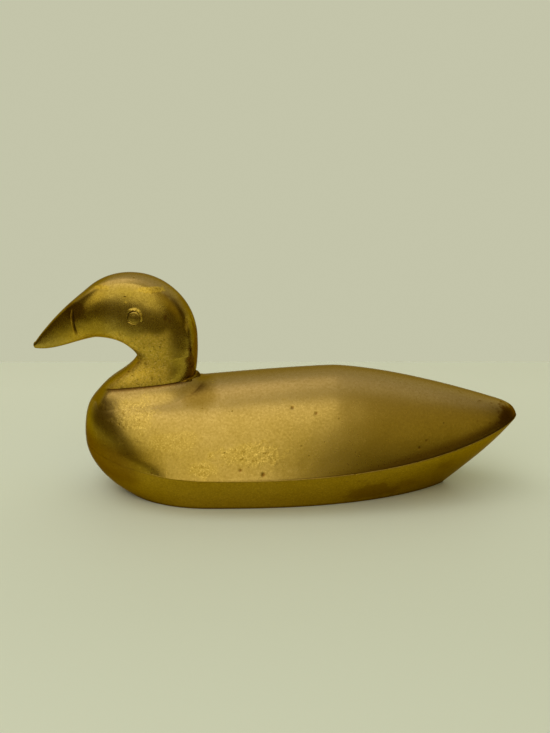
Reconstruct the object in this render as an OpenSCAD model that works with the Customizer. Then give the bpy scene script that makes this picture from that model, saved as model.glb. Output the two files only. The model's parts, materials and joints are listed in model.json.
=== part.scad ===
// Brass duck on a flat resting face, hollow cast body with a cast head and neck. Millimetres.
// X runs from the beak (-X) to the tail (+X), Z is up, and it rests on z = 0.
// The castings are the same on both sides of the plane y = 0. Only the neck braze is uneven.
// Five pieces: back casting, bottom casting, head casting and the two brazed joints between them.

/* [Body seen from above] */
// Overall length from beak tip to tail tip
length = 305; // [302:1:308]
// Half width over the sharp side edge
edge_half_w = 50; // [47:0.5:53]
// X of the widest place of the side edge
widest_x = -27; // [-32:0.5:-22]
// X of the foremost point of the side edge, under the breast
breast_x = -122.75; // [-125:0.25:-120]
// Bluntness of the breast in plan, higher is squarer
edge_bow_square = 2.3; // [2:0.1:2.6]
// Fullness of the breast in plan, lower is fuller
edge_bow_full = 0.47; // [0.45:0.01:0.55]
// Squareness of the rear half of the side edge
edge_stern_square = 2; // [1.9:0.1:2.2]
// Fullness of the rear half of the side edge, lower is fuller
edge_stern_full = 0.57; // [0.53:0.01:0.62]
// Half width of the flat resting face
base_half_w = 41.5; // [39.5:0.5:43.5]
// X of the widest place of the resting face
base_widest_x = -42; // [-47:0.5:-37]
// X of the front end of the resting face
base_bow_x = -99.75; // [-103:0.25:-97]
// X of the rear end of the resting face
base_stern_x = 109; // [104:0.25:112]
// Bluntness of the resting face at the front
base_bow_square = 2; // [1.8:0.1:2.3]
// Fullness of the resting face at the front
base_bow_full = 0.54; // [0.48:0.01:0.6]
// Squareness of the resting face at the rear
base_stern_square = 2.5; // [2.3:0.1:2.7]
// Fullness of the resting face at the rear, lower is fuller
base_stern_full = 0.83; // [0.74:0.01:0.92]

/* [Body seen from the side] */
// Lowest height of the side edge
edge_low_z = 21.5; // [19.5:0.5:23.5]
// X of the lowest point of the side edge
edge_low_x = -42; // [-48:1:-36]
// Rise of the side edge from its lowest point to the tail tip
tail_rise = 25.5; // [24:0.5:27.5]
// How late the side edge rises toward the tail
tail_rise_power = 2.9; // [2.5:0.1:3.2]
// Rise of the side edge toward the breast
bow_rise = 12; // [9:0.5:14]
// How late the side edge rises toward the breast
bow_rise_power = 2; // [1.6:0.1:2.6]
// Height of the top of the back
back_z = 78.2; // [76:0.2:80]
// X of the top of the back
back_x = 36; // [31:1:41]
// How late the back falls toward the neck
saddle_power = 1.25; // [1.1:0.05:1.5]
// Height that the back line would reach at the tail tip
tail_top_z = 53; // [52:0.5:56]
// How late the back falls toward the tail
tail_top_power = 1.5; // [1.4:0.1:1.7]
// X of the front end of the back line
ridge_front_x = -98; // [-100:0.5:-95]
// X of the rear end of the back line
ridge_tail_x = 141.5; // [138:0.5:143]

/* [Body section] */
// Lean of the flank above the side edge at mid body, degrees from level
flank_lean = 62; // [58:1:68]
// The same at the breast
breast_lean = 88; // [84:1:90]
// The same at the tail
tail_lean = 78; // [70:1:84]
// Height share that stays straight above the edge at mid body
flank_straight = 0.52; // [0.46:0.02:0.58]
// The same at the breast
breast_straight = 0.78; // [0.7:0.02:0.8]
// The same at the tail
tail_straight = 0.55; // [0.48:0.01:0.6]
// Width share that stays level on the back at mid body
deck_level = 0.57; // [0.5:0.01:0.64]
// The same at the breast
breast_level = 0.78; // [0.7:0.02:0.8]
// The same at the tail
tail_level = 0.5; // [0.44:0.01:0.56]
// How far the breast rounds in under the side edge
breast_tuck = 0.36; // [0.26:0.02:0.44]
// How far the stern rounds in under the side edge
stern_tuck = 0.18; // [0.12:0.02:0.22]

/* [Head and neck] */
// X of the front of the neck foot
foot_front_x = -110.75; // [-112:0.25:-109]
// Height of the front of the neck foot
foot_front_z = 66.5; // [65.5:0.25:67.5]
// X of the back of the neck foot
foot_back_x = -52.25; // [-54:0.25:-51]
// Height of the back of the neck foot
foot_back_z = 72.5; // [71.5:0.25:73.5]
// X of the throat corner
throat_x = -87.5; // [-89.5:0.25:-85.5]
// Height of the throat corner
throat_z = 86.6; // [85:0.2:88]
// X where the cheek turns into the beak underside
chin_x = -112.75; // [-115:0.25:-110]
// Height of the beak underside there
chin_z = 97.6; // [96:0.2:99]
// X of the centre of the round crown
crown_x = -90.5; // [-92:0.5:-89]
// Height of the centre of the round crown
crown_z = 97; // [96:0.5:98]
// Radius of the round crown
crown_r = 40.5; // [39:0.5:42]
// Angle at which the crown turns into the beak, from level at the back of the head
crown_end = 128; // [124:1:132]
// Height of the underside of the beak tip
tip_low_z = 90; // [88:0.5:91]
// Thickness of the beak tip
tip_h = 4.2; // [3.2:0.2:5]
// Half width of the beak tip
tip_half_w = 2.2; // [1.6:0.2:3]
// Length of the rounding at the beak tip
tip_round = 1.3; // [0.8:0.1:2]
// Half width of the neck foot
foot_half_w = 17.6; // [16.5:0.2:19]
// Half width of the neck
neck_half_w = 16; // [15:0.25:17]
// Half width of the head at the cheek
cheek_half_w = 16.6; // [15.6:0.2:18]
// Half width of the head where the beak begins
brow_half_w = 15; // [14:0.25:15.5]
// How early the beak tapers, lower is earlier
beak_taper = 1.25; // [1.1:0.05:1.5]
// Squareness of the neck and head section, higher gives crisper edges
head_square = 11; // [9:0.5:13]
// Squareness of the beak tip section
tip_square = 2; // [2:0.1:2.4]
// How much the crown, nape and neck front are rounded across, as a share of the half section
crown_round = 0.2; // [0.14:0.01:0.26]
// How much the sides of the head are rounded up and down, as a share of the half width
side_round = 0.14; // [0.1:0.01:0.2]

/* [Eye and beak lines] */
// X of the eye
eye_x = -84.75; // [-87:0.25:-82]
// Height of the eye
eye_z = 112.5; // [110:0.5:115]
// Outer radius of the ring cut round the eye
eye_r = 5; // [4.5:0.1:5.5]
// Width of the ring cut round the eye
eye_ring_w = 1.6; // [1:0.1:2]
// Depth of the ring cut round the eye
eye_ring_depth = 1; // [0.5:0.1:1.5]
// Place of the upper end of the beak line, 2 at the brow to 3 at the tip
beak_line_at = 2.29; // [2.26:0.01:2.36]
// How much nearer the brow its lower end is
beak_line_slant = 0.05; // [0.02:0.01:0.08]
// Half width of the cut beak line
beak_line_half_w = 0.7; // [0.5:0.05:1]
// Depth of the cut beak line
beak_line_depth = 0.8; // [0.5:0.1:1.2]
// Reach of the beak line above the middle of the side, degrees round the beak
beak_line_up = 32; // [24:1:50]
// Reach of the beak line below the middle of the side, degrees round the beak
beak_line_down = 38; // [30:1:46]

/* [Walls and joints] */
// Wall thickness of the hollow castings
wall = 4; // [3.6:0.1:4.6]
// Thickness of the brazed side joint between the two body castings
braze_t = 0.8; // [0.6:0.1:1.2]
// How far the brazed side joint stands proud of the edge
braze_proud = 0.35; // [0.2:0.05:0.6]
// Clearance between the locating lip and the back casting
lip_gap = 0.3; // [0.2:0.05:0.5]
// Thickness of the locating lip
lip_t = 2.5; // [2:0.1:3]
// Height share of the flank that the locating lip covers
lip_reach = 0.09; // [0.06:0.01:0.12]
// Thickness of the flat floor
floor_t = 4; // [3.5:0.1:5]
// Rounding at the rim of the resting face
foot_round = 0.8; // [0.5:0.1:1.2]
// Diameter of the vent hole in the floor
vent_d = 3; // [2:0.1:4]
// X of the vent hole
vent_x = -20; // [-40:1:20]
// Thickness of the brazed neck joint
neck_braze_t = 1.2; // [1:0.1:1.5]
// How far the brazed neck joint stands proud of the neck foot
neck_braze_proud = 0.4; // [0.3:0.1:0.8]
// Extra bead at the back of the neck
neck_braze_lump = 1.6; // [0.8:0.1:2]
// Diameter of the round socket in the back casting
socket_d = 22; // [20:0.5:23]
// Radial clearance between spigot and socket
spigot_gap = 0.1; // [0.05:0.01:0.2]
// Length of the spigot below the neck foot
spigot_l = 16; // [12:1:17]
// Wall thickness round the socket
socket_wall = 5; // [4.5:0.25:5.5]
// Depth of the socket boss below the neck joint
socket_depth = 21; // [20:1:23]
// Chamfer at the end of the spigot
spigot_chamfer = 1.2; // [0.6:0.1:2]

/* [Facets] */
// Points round each body ring, a multiple of 4
body_points = 96; // [72:4:104]
// Rings from the side edge to the back
flank_rings = 13; // [10:1:14]
// Rings below the side edge
under_rings = 4; // [3:1:5]
// Points round each neck and head ring, a multiple of 4
head_points = 40; // [32:4:44]
// Facets of round holes and pins
round_fn = 48; // [32:4:72]

/* [Hidden] */

brass = [0.71, 0.57, 0.27];
brass_dark = [0.56, 0.43, 0.19];

tail_x = length / 2 - braze_proud;
beak_x = -length / 2;
tail_inset = 2.5;       // the tail is solid this many walls deep
base_inset = 2;         // the same for the floor at both ends
bow_start = 0.1;        // length share ahead of the widest place where the breast begins
stern_full = 0.7;       // length share behind it where the stern is fully shaped
ridge_share = 0.98;     // the last ring stops just short of the back line
under_turn = 0.5;       // where the handle of a straight bevel lies, from the rim to the edge
tail_under_lift = 0.06; // how much higher that handle lies at the stern
bow_under_drop = 0.1;   // and how much lower at the breast
curve_pull = 0.33;      // handle length of the side view curves, as a share of their chord
edge_crowd = 10;        // degrees by which head points move toward the edges of a section
foot_dx = foot_back_x - foot_front_x;
foot_tilt = atan2(foot_back_z - foot_front_z, foot_dx);
foot_mid = [(foot_front_x + foot_back_x) / 2, 0, (foot_front_z + foot_back_z) / 2];
foot_half_l = norm([foot_dx, foot_back_z - foot_front_z]) / 2;
spigot_d = socket_d - 2 * spigot_gap;
socket_r = socket_d / 2;
boss_r = socket_r + socket_wall;
cut_extra = 1;          // how far a cutter passes the face it opens

function mix(a, b, t) = a + (b - a) * t;
function smooth(t) = let (u = max(0, min(1, t))) u * u * (3 - 2 * u);
function dir2(a) = [cos(a), sin(a)];

// Points of a curve with two handles (b, c) and of one with a single handle (b).
function cubic(a, b, c, d, v) = pow(1 - v, 3) * a + 3 * v * pow(1 - v, 2) * b
    + 3 * v * v * (1 - v) * c + pow(v, 3) * d;
function quadratic(a, b, c, v) = pow(1 - v, 2) * a + 2 * v * (1 - v) * b + v * v * c;

// Half width of a plan outline at the share s of the way to its end.
function plan_half(s, half, square, full) = half * pow(max(0, 1 - pow(s, square)), full);

// Point of a plan outline at the angle t: 0 at the tail, 90 on the +Y side, 180 at the breast.
function plan_pt(t, half, mid, bow, stern, bow_k, stern_k) =
    let (s = abs(cos(t)), k = cos(t) < 0 ? bow_k : stern_k)
    [cos(t) < 0 ? mix(mid, bow, s) : mix(mid, stern, s),
     (t > 180 ? -1 : 1) * plan_half(s, half, k[0], k[1])];

// Height of the side edge, which depends on x only, so both castings meet on one surface.
function edge_z(x) = x > edge_low_x
    ? edge_low_z + tail_rise * pow((x - edge_low_x) / (tail_x - edge_low_x), tail_rise_power)
    : edge_low_z + bow_rise * pow((edge_low_x - x) / (edge_low_x - breast_x), bow_rise_power);

// Side edge at the angle t, moved in by the inset d.
function edge_xy(t, d) = plan_pt(t, edge_half_w - d, widest_x, breast_x + d,
    tail_x - (d > 0 ? tail_inset : 1) * d,
    [edge_bow_square, edge_bow_full], [edge_stern_square, edge_stern_full]);
function edge_pt(t, d, lift) = let (p = edge_xy(t, d)) [p[0], p[1], edge_z(p[0]) + lift];

// Rim of the resting face at the angle t, moved in by the inset d.
function base_pt(t, d, z) = let (p = plan_pt(t, base_half_w - d, base_widest_x,
    base_bow_x + base_inset * d, base_stern_x - base_inset * d,
    [base_bow_square, base_bow_full], [base_stern_square, base_stern_full])) [p[0], p[1], z];

// Shares of breast and stern shape at x.
function bow_share(x) = smooth(((widest_x - x) / (widest_x - breast_x) - bow_start) / (1 - bow_start));
function stern_share(x) = smooth((x - widest_x) / (tail_x - widest_x) / stern_full);
function by_place(x, mid, bow, stern) = mix(mix(mid, bow, bow_share(x)), stern, stern_share(x));

// Height of the line of the back. It meets the neck joint and runs level with it under the neck.
function joint_z(x) = foot_front_z - neck_braze_t + (x - foot_front_x) * tan(foot_tilt);
function ridge_z(x) = x >= back_x
    ? back_z - (back_z - tail_top_z) * pow((x - back_x) / (tail_x - back_x), tail_top_power)
    : x >= foot_back_x
    ? back_z - (back_z - joint_z(foot_back_x)) * pow((back_x - x) / (back_x - foot_back_x), saddle_power)
    : joint_z(x);
function ridge_slope(x) = ridge_z(x + 0.5) - ridge_z(x - 0.5);

// Point on the flank: t picks the station, v runs from 0 at the side edge to 1 on the back line.
function flank_pt(t, v, d, lift) =
    let (e = edge_pt(t, d, lift),
         rx = min(max(e[0], ridge_front_x), ridge_tail_x - tail_inset * d),
         rz = ridge_z(rx) - d,
         out = [e[0] - rx, e[1]], w = norm(out), dir = out / w,
         h = rz - e[2],
         lean = by_place(e[0], flank_lean, breast_lean, tail_lean),
         up = h * by_place(e[0], flank_straight, breast_straight, tail_straight),
         level = w * by_place(e[0], deck_level, breast_level, tail_level),
         p1 = [w - up * cos(lean), e[2] + up * sin(lean)],
         p2 = [level, rz + ridge_slope(rx) * dir[0] * level],
         q = cubic([w, e[2]], p1, p2, [0, rz], v))
    [rx + dir[0] * q[0], dir[1] * q[0], q[1]];

// Point on the bevel below the side edge: v runs from 0 at the resting face to 1 at the edge.
function under_pt(t, v) =
    let (b = base_pt(t, 0, foot_round), e = edge_pt(t, 0, -braze_t / 2),
         bow = bow_share(e[0]), stern = stern_share(e[0]),
         m = under_turn + stern_tuck * stern + breast_tuck * bow,
         lift = under_turn + tail_under_lift * stern - bow_under_drop * bow,
         c = [mix(b[0], e[0], m), mix(b[1], e[1], m), mix(b[2], e[2], lift)])
    quadratic(b, c, e, v);

// Side faces between rings of n points, for this many gaps from one ring to the next.
function side_faces(n, gaps) = [for (k = [0 : gaps - 1]) for (j = [0 : n - 1])
    let (a = k * n + j, b = k * n + (j + 1) % n) each [[a, a + n, b + n], [a, b + n, b]]];

// Skins a stack of rings that are mirrored in y = 0, and closes both ends across that plane.
module skin(rings) {
    n = len(rings[0]);
    last = (len(rings) - 1) * n;
    ends = [for (j = [0 : n / 2 - 1])
        let (a = j, b = j + 1, c = n - j - 1, d = (n - j) % n)
        each concat(
            b == c ? [] : [[a, b, c], [last + a, last + c, last + b]],
            a == d ? [] : [[a, c, d], [last + a, last + d, last + c]])];
    polyhedron(points = [for (r = rings) each r],
        faces = concat(side_faces(n, len(rings) - 1), ends), convexity = 8);
}

// Skins rings that close on themselves, the last one back to the first. Its triangles are cut
// the other way from those of skin, so that a joint's faces match the faces they lie on.
module loop_skin(rings) {
    n = len(rings[0]);
    m = len(rings);
    polyhedron(points = [for (r = rings) each r],
        faces = [for (k = [0 : m - 1]) for (j = [0 : n - 1])
            let (a = k * n + j, b = k * n + (j + 1) % n, up = ((k + 1) % m - k) * n)
            each [[a, a + up, b], [b, a + up, b + up]]],
        convexity = 8);
}

angles = [for (j = [0 : body_points - 1]) 360 * j / body_points];

// Head and neck: the front path runs foot, throat, chin, beak tip and the back path runs
// foot, nape, crown, beak tip. Both are followed by one place number from 0 to 3.
function curve(p0, a0, p3, a3, v) = let (h = curve_pull * norm(p3 - p0))
    cubic(p0, p0 + h * dir2(a0), p3 - h * dir2(a3), p3, v);

foot_front = [foot_front_x, foot_front_z];
foot_back = [foot_back_x, foot_back_z];
throat = [throat_x, throat_z];
chin = [chin_x, chin_z];
crown = [crown_x, crown_z];
tip_low = [beak_x + tip_round, tip_low_z];
tip_high = [beak_x + tip_round, tip_low_z + tip_h];
// Directions of the two paths at the ends of their curves, degrees from level toward the tail.
front_angles = [49, 60, 115, 180, 188, 176];
back_angles = [76, 92, 233];
// Where the back path is when the front path is at 0, 1, 2 and 3.
back_pace = [[0, 0], [1, 0.62], [2, 1.9], [3, 3]];

function front_path(s) =
    s <= 1 ? curve(foot_front, front_angles[0], throat, front_angles[1], s)
    : s <= 2 ? curve(throat, front_angles[2], chin, front_angles[3], s - 1)
    : curve(chin, front_angles[4], tip_low, front_angles[5], s - 2);
function back_path(s) =
    s <= 1 ? curve(foot_back, back_angles[0], crown + [crown_r, 0], back_angles[1], s)
    : s <= 2 ? crown + crown_r * dir2((s - 1) * crown_end)
    : curve(crown + crown_r * dir2(crown_end), crown_end + 90, tip_high, back_angles[2], s - 2);

neck_at = 0.9;
cheek_at = 1.5;
function head_half_w(s) =
    s <= neck_at ? mix(foot_half_w, neck_half_w, smooth(s / neck_at))
    : s <= cheek_at ? mix(neck_half_w, cheek_half_w, smooth((s - neck_at) / (cheek_at - neck_at)))
    : s <= 2 ? mix(cheek_half_w, brow_half_w, smooth((s - cheek_at) / (2 - cheek_at)))
    : mix(brow_half_w, tip_half_w, pow(s - 2, beak_taper));

// Shape of a section: its squareness, and how round its ends and its sides are.
round_section = [2, 0, 0];
head_section = [head_square, crown_round, side_round];
function section_at(s) = mix(head_section, [tip_square, 0, 0], max(0, s - 2));

// Point of a section of half size 1 at the angle a: 0 at its back end, 90 on the +Y side.
function section_pt(a, shape) =
    let (q = shape[0], r = pow(pow(abs(cos(a)), q) + pow(abs(sin(a)), q), -1 / q),
         u = r * cos(a), w = r * sin(a))
    [u * (1 - shape[1] * w * w), w * (1 - shape[2] * u * u)];

// Loop with its half length along half, a vector in the side view, and half width hw along Y.
// Its points stand closer together at the four rounded edges.
function loop(c, half, hw, shape, n) = [for (j = [0 : n - 1])
    let (a = 360 * j / n, p = section_pt(a + edge_crowd * sin(4 * a), shape))
    [c[0] + half[0] * p[0], hw * p[1], c[1] + half[1] * p[0]]];

function head_loop(s) =
    let (f = front_path(s), b = back_path(lookup(s, back_pace)))
    loop((f + b) / 2, (b - f) / 2, head_half_w(s), section_at(s), head_points);

// Point on the side of the head at the place s and the angle a of its section.
function head_side(s, a) =
    let (f = front_path(s), b = back_path(lookup(s, back_pace)), p = section_pt(a, section_at(s)))
    let (c = (f + b) / 2, half = (b - f) / 2)
    [c[0] + half[0] * p[0], head_half_w(s) * p[1], c[1] + half[1] * p[0]];

// Loop in the plane of the neck foot, this far below it, grown by out.
function foot_loop(drop, hl, hw, shape) =
    loop([foot_mid[0] + drop * sin(foot_tilt), foot_mid[2] - drop * cos(foot_tilt)],
        hl * dir2(foot_tilt), hw, shape, head_points);
function foot_out(drop, out) = foot_loop(drop, foot_half_l + out, foot_half_w + out, head_section);

// Places of the head rings: evenly up the neck, closer round the throat and at the tip.
neck_steps = 6;
head_steps = 14;
beak_steps = 12;
head_places = concat(
    [for (k = [0 : neck_steps - 1]) k / neck_steps],
    [for (k = [0 : head_steps - 1]) 1 + k / head_steps],
    [for (k = [0 : beak_steps]) 2 + k / beak_steps]);
tip_scale = 0.55;

// Puts its children on the neck foot's plane, with Z along the neck's axis.
module on_foot(drop) {
    translate(foot_mid) rotate([0, -foot_tilt, 0]) translate([0, 0, -drop]) children();
}

// Skirt of the neck boss on the back: how far it has spread at each depth below the joint.
skirt = [[12, 7.5], [9, 4.6], [6, 2.4], [4, 1.2], [2, 0.4], [0, 0]];
boss_taper = 4;

module back_casting() {
    color(brass) difference() {
        union() {
            skin(concat(
                [for (v = [flank_rings : -1 : 0]) [for (t = angles)
                    flank_pt(t, ridge_share * v / flank_rings, wall, braze_t / 2)]],
                [for (v = [0 : flank_rings]) [for (t = angles)
                    flank_pt(t, ridge_share * v / flank_rings, 0, braze_t / 2)]]));
            skin(concat(
                [foot_loop(socket_depth, boss_r, boss_r, round_section),
                 foot_loop(skirt[0][0] + boss_taper, boss_r + boss_taper, boss_r, round_section)],
                [for (k = skirt) foot_out(k[0] + neck_braze_t, k[1])]));
        }
        on_foot(socket_depth + cut_extra)
            cylinder(d = socket_d, h = socket_depth + 2 * cut_extra, $fn = round_fn);
    }
}

module bottom_casting() {
    lip_in = wall + lip_gap;
    color(brass_dark) difference() {
        skin(concat(
            [[for (t = angles) base_pt(t, foot_round, 0)]],
            [for (v = [0 : under_rings]) [for (t = angles) under_pt(t, v / under_rings)]],
            [[for (t = angles) edge_pt(t, lip_in, -braze_t / 2)],
             [for (t = angles) flank_pt(t, lip_reach, lip_in, braze_t / 2)],
             [for (t = angles) flank_pt(t, lip_reach, lip_in + lip_t, braze_t / 2)],
             [for (t = angles) edge_pt(t, lip_in + lip_t, -braze_t / 2)],
             [for (t = angles) base_pt(t, wall, floor_t)]]));
        translate([vent_x, 0, -cut_extra])
            cylinder(d = vent_d, h = floor_t + 2 * cut_extra, $fn = round_fn);
    }
}

// Cutter for one beak line: a three-sided groove that follows the side of the beak and runs out
// at both ends. The place number grows by about one over the length of the beak.
beak_line_steps = 12;
beak_length = norm(tip_high - chin);
module beak_line(side) {
    half_place = beak_line_half_w / beak_length;
    sections = [for (k = [0 : beak_line_steps])
        let (share = k / beak_line_steps, a = mix(90 - beak_line_up, 90 + beak_line_down, share),
             at = beak_line_at - beak_line_slant * share * share,
             fade = smooth(4 * min(share, 1 - share)),
             deep = [0, beak_line_depth * fade, 0], proud = [0, beak_line_depth, 0])
        [for (p = [head_side(at - half_place, a) + proud, head_side(at, a) - deep,
                   head_side(at + half_place, a) + proud]) [p[0], side * p[1], p[2]]]];
    last = beak_line_steps * 3;
    faces = concat(side_faces(3, beak_line_steps), [[0, 1, 2], [last + 2, last + 1, last]]);
    polyhedron(points = [for (s = sections) each s],
        faces = side > 0 ? faces : [for (f = faces) [f[2], f[1], f[0]]], convexity = 4);
}

// Cutter for one eye: a ring pressed into the side of the head.
module eye_ring(side) {
    at_y = side > 0 ? cheek_half_w - eye_ring_depth : -cheek_half_w - cut_extra;
    translate([eye_x, at_y + eye_ring_depth + cut_extra, eye_z]) rotate([90, 0, 0]) difference() {
        cylinder(r = eye_r, h = eye_ring_depth + cut_extra, $fn = round_fn);
        translate([0, 0, -cut_extra])
            cylinder(r = eye_r - eye_ring_w, h = eye_ring_depth + 3 * cut_extra, $fn = round_fn);
    }
}

module head_casting() {
    tip = head_loop(3);
    tip_mid = [(tip_low[0] + tip_high[0]) / 2, 0, (tip_low[1] + tip_high[1]) / 2];
    color(brass) difference() {
        union() {
            skin(concat([for (s = head_places) head_loop(s)],
                [[for (p = tip) tip_mid + [-tip_round, 0, 0] + tip_scale * (p - tip_mid)]]));
            on_foot(spigot_l) {
                cylinder(d1 = spigot_d - 2 * spigot_chamfer, d2 = spigot_d, h = spigot_chamfer,
                    $fn = round_fn);
                translate([0, 0, spigot_chamfer])
                    cylinder(d = spigot_d, h = spigot_l - spigot_chamfer + cut_extra, $fn = round_fn);
            }
        }
        for (side = [-1, 1]) {
            eye_ring(side);
            beak_line(side);
        }
    }
}

// Brazed joint at the neck foot: a flat ring with a round, uneven bead, thicker at the back.
bead_edge = 0.6;        // share of the bead that is left at its upper and lower rim
lump_focus = 6;         // how closely the extra bead keeps to the back of the neck
lump_waves = 7;         // waves in the extra bead round the whole neck
lump_wave_share = 0.3;  // and how much of it comes and goes
side_waves = 5;         // waves in the bead on both sides
side_wave_h = 0.12;     // and their height
bead_dressed = 0.5;     // share of the ring at the breast where the bead is dressed smooth
module neck_braze() {
    inner_l = socket_r + socket_wall / 2;
    function lump(a) = neck_braze_lump * pow(max(0, cos(a)), lump_focus)
        * (1 - lump_wave_share + lump_wave_share * sin(lump_waves * a));
    function bead(a) = smooth((1 + cos(a)) / bead_dressed)
        * (neck_braze_proud + lump(a) + side_wave_h * sin(side_waves * a) * pow(sin(a), 2));
    function bead_loop(drop, share) = let (base = foot_out(drop, 0), grown = foot_out(drop, 1))
        [for (j = [0 : head_points - 1]) let (a = 360 * j / head_points)
            mix(base[j], grown[j], share * bead(a))];
    color(brass_dark) loop_skin([
        foot_loop(0, inner_l, inner_l, round_section),
        foot_loop(neck_braze_t, inner_l, inner_l, round_section),
        bead_loop(neck_braze_t, bead_edge),
        bead_loop(neck_braze_t / 2, 1),
        bead_loop(0, bead_edge)]);
}

// Brazed joint along the side edge: a thin ring between the castings with a fine proud line.
// The proud line fades out round the breast, where the edge is dressed smooth.
function seam_crest(t) = edge_pt(t, -braze_proud * (1 - bow_share(edge_xy(t, 0)[0])), 0);
module seam_braze() {
    color(brass_dark) loop_skin([
        [for (t = angles) edge_pt(t, wall, -braze_t / 2)],
        [for (t = angles) edge_pt(t, 0, -braze_t / 2)],
        [for (t = angles) seam_crest(t)],
        [for (t = angles) edge_pt(t, 0, braze_t / 2)],
        [for (t = angles) edge_pt(t, wall, braze_t / 2)]]);
}

back_casting();
bottom_casting();
head_casting();
neck_braze();
seam_braze();
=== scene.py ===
# %% [markdown]
# A hollow cast brass duck. The body is two castings, a back and a bottom, that meet on a sharp
# side edge. The head and neck are a third casting. Two brazed joints hold the three together.
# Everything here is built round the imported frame, in metres, where the CAD says each piece is.

import json

import bmesh
import bpy
import numpy as np
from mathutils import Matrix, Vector, noise
from mathutils.bvhtree import BVHTree

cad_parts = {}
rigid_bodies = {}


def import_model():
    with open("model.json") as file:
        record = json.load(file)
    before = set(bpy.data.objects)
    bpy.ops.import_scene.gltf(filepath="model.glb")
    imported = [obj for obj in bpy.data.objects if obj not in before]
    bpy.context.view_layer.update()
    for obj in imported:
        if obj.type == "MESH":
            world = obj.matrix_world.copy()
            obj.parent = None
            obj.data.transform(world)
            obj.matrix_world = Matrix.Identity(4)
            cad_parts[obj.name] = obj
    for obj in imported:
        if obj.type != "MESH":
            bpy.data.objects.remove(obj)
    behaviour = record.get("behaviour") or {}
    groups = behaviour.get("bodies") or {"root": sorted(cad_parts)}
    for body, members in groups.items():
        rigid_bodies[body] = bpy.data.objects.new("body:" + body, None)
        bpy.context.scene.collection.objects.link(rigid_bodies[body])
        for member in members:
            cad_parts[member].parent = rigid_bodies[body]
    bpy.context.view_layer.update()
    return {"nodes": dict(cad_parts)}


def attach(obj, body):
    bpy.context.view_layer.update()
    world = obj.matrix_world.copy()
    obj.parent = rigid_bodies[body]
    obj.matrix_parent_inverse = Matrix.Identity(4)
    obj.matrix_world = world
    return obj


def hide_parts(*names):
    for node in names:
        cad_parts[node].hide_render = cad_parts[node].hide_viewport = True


for leftover in list(bpy.data.objects):
    bpy.data.objects.remove(leftover)
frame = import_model()
print("nodes", sorted(frame["nodes"]))

# %% [markdown]
# The camera looks a little down on the duck's side, as a person does who stands at the table.
# It aims at a point inside the body, and its lens takes in the whole duck with room around it.
# It could be placed by hand. From a point, a distance and an angle, each can be changed alone.

# %% Camera
LOOK_AT = Vector((-0.00175, 0, 0.078))
LOOK_FROM = 0.472
LOOK_DOWN = np.radians(15)
camera = bpy.data.objects.new("camera", bpy.data.cameras.new("camera"))
bpy.context.scene.collection.objects.link(camera)
camera.data.sensor_width = 36
camera.data.lens = 36.83
camera.location = LOOK_AT + LOOK_FROM * Vector((0, -np.cos(LOOK_DOWN), np.sin(LOOK_DOWN)))
camera.rotation_euler = (LOOK_AT - camera.location).to_track_quat("-Z", "Y").to_euler()
bpy.context.scene.camera = camera
print("camera at", [round(v, 4) for v in camera.location])

# %% [markdown]
# The body's forms are curves with a few measures each: an outline seen from above, a side edge
# that climbs toward the tail, and a line along the back. The same rules shape the solids of the
# frame, so the fine skins made from them here lie where the frame is. Measures are millimetres.
# The body could be sculpted, but rules with few measures keep it true and can be read.

# %% Small curve helpers
def mix(a, b, share):
    return a + (b - a) * share


def ease(value):
    u = np.clip(value, 0, 1)
    return u * u * (3 - 2 * u)


def two_handles(a, b, c, d, v):
    return (1 - v) ** 3 * a + 3 * v * (1 - v) ** 2 * b + 3 * v * v * (1 - v) * c + v**3 * d


def one_handle(a, b, c, v):
    return (1 - v) ** 2 * a + 2 * v * (1 - v) * b + v * v * c


# %% Outlines seen from above
BEAK_X, TAIL_X = -152.5, 152.15
WIDEST_X, BREAST_X = -27, -122.75
EDGE_HALF, BASE_HALF = 50, 41.5
BASE_WIDEST_X, BASE_BOW_X, BASE_STERN_X = -42, -99.75, 109
TAIL_INSET, BASE_INSET = 2.5, 2


def plan(turn, half, mid, bow, stern, bow_kind, stern_kind):
    """Outline points at these angles: 0 at the tail, a quarter turn at +Y, a half turn at the breast."""
    share = np.abs(np.cos(turn))
    front = np.cos(turn) < 0
    square = np.where(front, bow_kind[0], stern_kind[0])
    full = np.where(front, bow_kind[1], stern_kind[1])
    x = np.where(front, mix(mid, bow, share), mix(mid, stern, share))
    y = half * np.maximum(0, 1 - share**square) ** full
    return x, y * np.where(np.sin(turn) < 0, -1, 1)


def edge_plan(turn, inset):
    stern = TAIL_X - (TAIL_INSET if inset > 0 else 1) * inset
    return plan(turn, EDGE_HALF - inset, WIDEST_X, BREAST_X + inset, stern, (2.3, 0.47), (2, 0.57))


def base_plan(turn, inset):
    return plan(turn, BASE_HALF - inset, BASE_WIDEST_X, BASE_BOW_X + BASE_INSET * inset,
                BASE_STERN_X - BASE_INSET * inset, (2, 0.54), (2.5, 0.83))


# %% Lines seen from the side
EDGE_LOW_X, EDGE_LOW_Z = -42, 21.5
TAIL_RISE, BOW_RISE = 25.5, 12
BACK_X, BACK_Z, TAIL_TOP_Z = 36, 78.2, 53
RIDGE_FRONT_X, RIDGE_TAIL_X = -98, 141.5
FOOT_FRONT = np.array([-110.75, 66.5])
FOOT_BACK = np.array([-52.25, 72.5])
JOINT_T = 1.2
FOOT_TILT = np.arctan2(FOOT_BACK[1] - FOOT_FRONT[1], FOOT_BACK[0] - FOOT_FRONT[0])


def edge_height(x):
    back = np.maximum(0, (x - EDGE_LOW_X) / (TAIL_X - EDGE_LOW_X))
    front = np.maximum(0, (EDGE_LOW_X - x) / (EDGE_LOW_X - BREAST_X))
    return EDGE_LOW_Z + TAIL_RISE * back**2.9 + BOW_RISE * front**2


def joint_height(x):
    return FOOT_FRONT[1] - JOINT_T + (x - FOOT_FRONT[0]) * np.tan(FOOT_TILT)


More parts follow.
